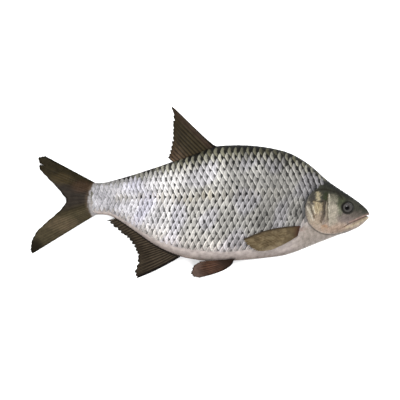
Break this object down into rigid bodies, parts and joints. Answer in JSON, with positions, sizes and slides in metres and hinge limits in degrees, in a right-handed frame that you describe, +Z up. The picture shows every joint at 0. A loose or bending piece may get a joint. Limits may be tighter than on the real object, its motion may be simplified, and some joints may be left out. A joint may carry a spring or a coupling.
{
  "type": "whole bream",
  "caption": "Whole bream lying on its side: deep flat body with overlapping scales, small head, forked tail fin, dorsal, anal, pectoral and pelvic fins.",
  "frame": {"origin": "middle of the bounding box's bottom face, on the surface that the fish lies on", "axes": "+X from the tail towards the snout, +Y from the belly towards the back, +Z up through the right flank, which faces up"},
  "size_m": [0.35, 0.1762, 0.0397],
  "materials": {
    "skin": "silvery scaled skin with a wet sheen, dark olive back, pinkish-white belly",
    "median_fin": "dark olive-brown membrane with darker rays and rim",
    "paired_fin": "olive to reddish-brown membrane with a dark edge",
    "eye": "wet grey-brown iris with a black pupil"
  },
  "bodies": {
    "root": {"body": "skin", "dorsal_fin": "median_fin", "caudal_fin": "median_fin", "anal_fin": "median_fin", "pectoral_fin_right": "paired_fin", "pectoral_fin_left": "paired_fin", "pelvic_fin_right": "paired_fin", "pelvic_fin_left": "paired_fin", "eye_right": "eye", "eye_left": "eye"}
  },
  "joints": []
}
